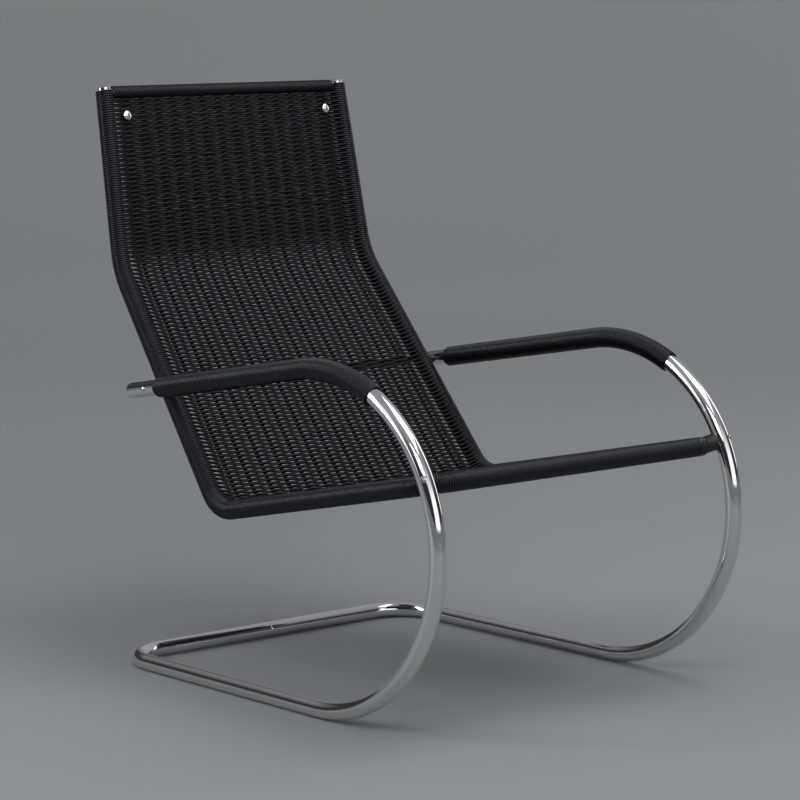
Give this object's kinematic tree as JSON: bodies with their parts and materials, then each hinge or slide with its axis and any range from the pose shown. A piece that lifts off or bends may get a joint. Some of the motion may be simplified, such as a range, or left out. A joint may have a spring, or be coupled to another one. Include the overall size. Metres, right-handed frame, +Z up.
{
  "type": "cantilever lounge chair",
  "caption": "Cantilever lounge chair: chromed bent-tube frame with floor runners and arms, woven black cord seat and back, cord-wound armrests.",
  "frame": {"origin": "middle of the chair's footprint, on the floor", "axes": "+Z up, the chair faces -Y, X across"},
  "size_m": [0.6182, 0.894, 0.9038],
  "materials": {
    "chrome": "polished",
    "seat_steel": "polished",
    "plain_steel": "plain",
    "fastener_steel": "bright",
    "arm_cord": "waxed cord, wound",
    "seat_cord": "waxed cord, wound",
    "weave": "waxed cord, woven",
    "black_plastic": "satin"
  },
  "bodies": {
    "root": {"right_frame_tube": "chrome", "left_frame_tube": "chrome", "base_joint_sleeve": "plain_steel", "right_arm_cap": "chrome", "left_arm_cap": "chrome", "right_arm_winding": "arm_cord", "left_arm_winding": "arm_cord", "seat_frame_tube": "seat_steel", "top_bar_tube": "seat_steel", "back_cross_tube": "chrome", "right_top_cap": "chrome", "left_top_cap": "chrome", "right_side_winding": "seat_cord", "left_side_winding": "seat_cord", "front_bar_winding": "seat_cord", "top_bar_winding": "seat_cord", "woven_panel": "weave", "right_front_spacer": "black_plastic", "left_front_spacer": "black_plastic", "front_bolts": "fastener_steel", "front_inserts": "plain_steel", "right_arm_spacer": "black_plastic", "left_arm_spacer": "black_plastic", "arm_screws": "fastener_steel", "arm_inserts": "plain_steel", "headrest_studs": "chrome", "stud_washers": "fastener_steel", "stud_nuts": "fastener_steel"}
  },
  "joints": []
}
